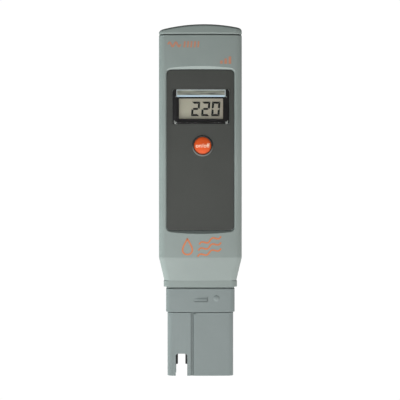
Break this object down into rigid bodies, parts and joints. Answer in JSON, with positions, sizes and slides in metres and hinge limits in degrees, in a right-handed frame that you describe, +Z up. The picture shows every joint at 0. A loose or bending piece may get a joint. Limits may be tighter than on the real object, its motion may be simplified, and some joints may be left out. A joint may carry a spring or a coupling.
{
  "type": "pocket digital ph meter",
  "caption": "Slim hand-held pocket tester with a sunk dark panel, raised display window, power button, battery cap on top and a slotted probe shroud below.",
  "frame": {"origin": "middle of the object's box in X and Y, at the rim of the probe shroud, which is its lowest point", "axes": "+Z up along the meter from probe to battery cap, -Y out of the display, +X to the right as the display is read"},
  "size_m": [0.0412, 0.023, 0.1745],
  "materials": {
    "grey_plastic": "fine-grained moulded ABS, satin",
    "light_grey_plastic": "moulded ABS, satin, a shade lighter than the housing",
    "dark_panel": "dark grey sheet, satin",
    "clear_window": "clear polished acrylic",
    "black_plastic": "black moulded plastic",
    "display_glass": "display glass with a grey-beige reflector",
    "orange_rubber": "orange silicone, smooth",
    "seal_rubber": "black elastomer",
    "green_board": "green solder mask over glass-fibre laminate",
    "steel": "bright steel",
    "brass": "bright brass",
    "silver": "drawn silver",
    "graphite": "black graphite composite",
    "electrode_glass": "thin clear glass",
    "resin": "black potting resin",
    "ceramic": "porous white ceramic",
    "blue_plastic": "blue moulded plastic",
    "white_plastic": "white moulded plastic",
    "red_lead": "red insulation",
    "black_lead": "black insulation"
  },
  "bodies": {
    "housing": {"amplifier_chip": "black_plastic", "battery_contact_negative": "brass", "battery_contact_positive": "brass", "board_screw_lower_left": "steel", "board_screw_lower_right": "steel", "board_screw_upper_left": "steel", "board_screw_upper_right": "steel", "case_screw_lower_left": "steel", "case_screw_lower_right": "steel", "case_screw_upper_left": "steel", "case_screw_upper_right": "steel", "circuit_board": "green_board", "connector_strip_lower": "seal_rubber", "connector_strip_upper": "seal_rubber", "display_bezel": "black_plastic", "display_window": "clear_window", "electrode_bulb": "electrode_glass", "electrode_potting": "resin", "electrode_stem": "electrode_glass", "filter_capacitor": "steel", "front_panel": "dark_panel", "front_shell": "grey_plastic", "lcd_glass": "display_glass", "lead_connector": "white_plastic", "lead_glass": "red_lead", "lead_left_pin": "black_lead", "lead_reference": "red_lead", "lead_right_pin": "black_lead", "microcontroller": "black_plastic", "probe_collar": "light_grey_plastic", "probe_gasket": "seal_rubber", "probe_shroud": "light_grey_plastic", "quartz_crystal": "silver", "rear_shell": "grey_plastic", "reference_junction": "ceramic", "reference_wire": "silver", "sensing_pin_left": "graphite", "sensing_pin_right": "graphite", "silver_wire": "silver", "switch_body": "black_plastic", "trimmer_body_left": "blue_plastic", "trimmer_body_right": "blue_plastic"},
    "battery_drawer": {"battery_cap": "grey_plastic", "battery_tray": "black_plastic", "cap_gasket": "seal_rubber", "button_cell_1": "steel", "button_cell_2": "steel", "button_cell_3": "steel", "button_cell_4": "steel", "cell_link_lower": "brass", "cell_link_upper": "brass"},
    "button": {"power_button": "orange_rubber", "switch_plunger": "black_plastic"},
    "trimmer_left": {"trimmer_rotor_left": "brass"},
    "trimmer_right": {"trimmer_rotor_right": "brass"}
  },
  "joints": [
    {"name": "battery_pull", "type": "slide", "parent": "housing", "child": "battery_drawer", "axis": [0, 0, 1], "range_m": [0, 0.033]},
    {"name": "button_press", "type": "slide", "parent": "housing", "child": "button", "axis": [0, 1, 0], "range_m": [0, 0.0006], "stiffness_N_per_m": 2500},
    {"name": "trimmer_left_turn", "type": "hinge", "parent": "housing", "child": "trimmer_left", "pos_m": [-0.0055, 0.0043, 0.084], "axis": [0, 1, 0], "range_deg": [-135, 135]},
    {"name": "trimmer_right_turn", "type": "hinge", "parent": "housing", "child": "trimmer_right", "pos_m": [0.0055, 0.0043, 0.084], "axis": [0, 1, 0], "range_deg": [-135, 135]}
  ]
}
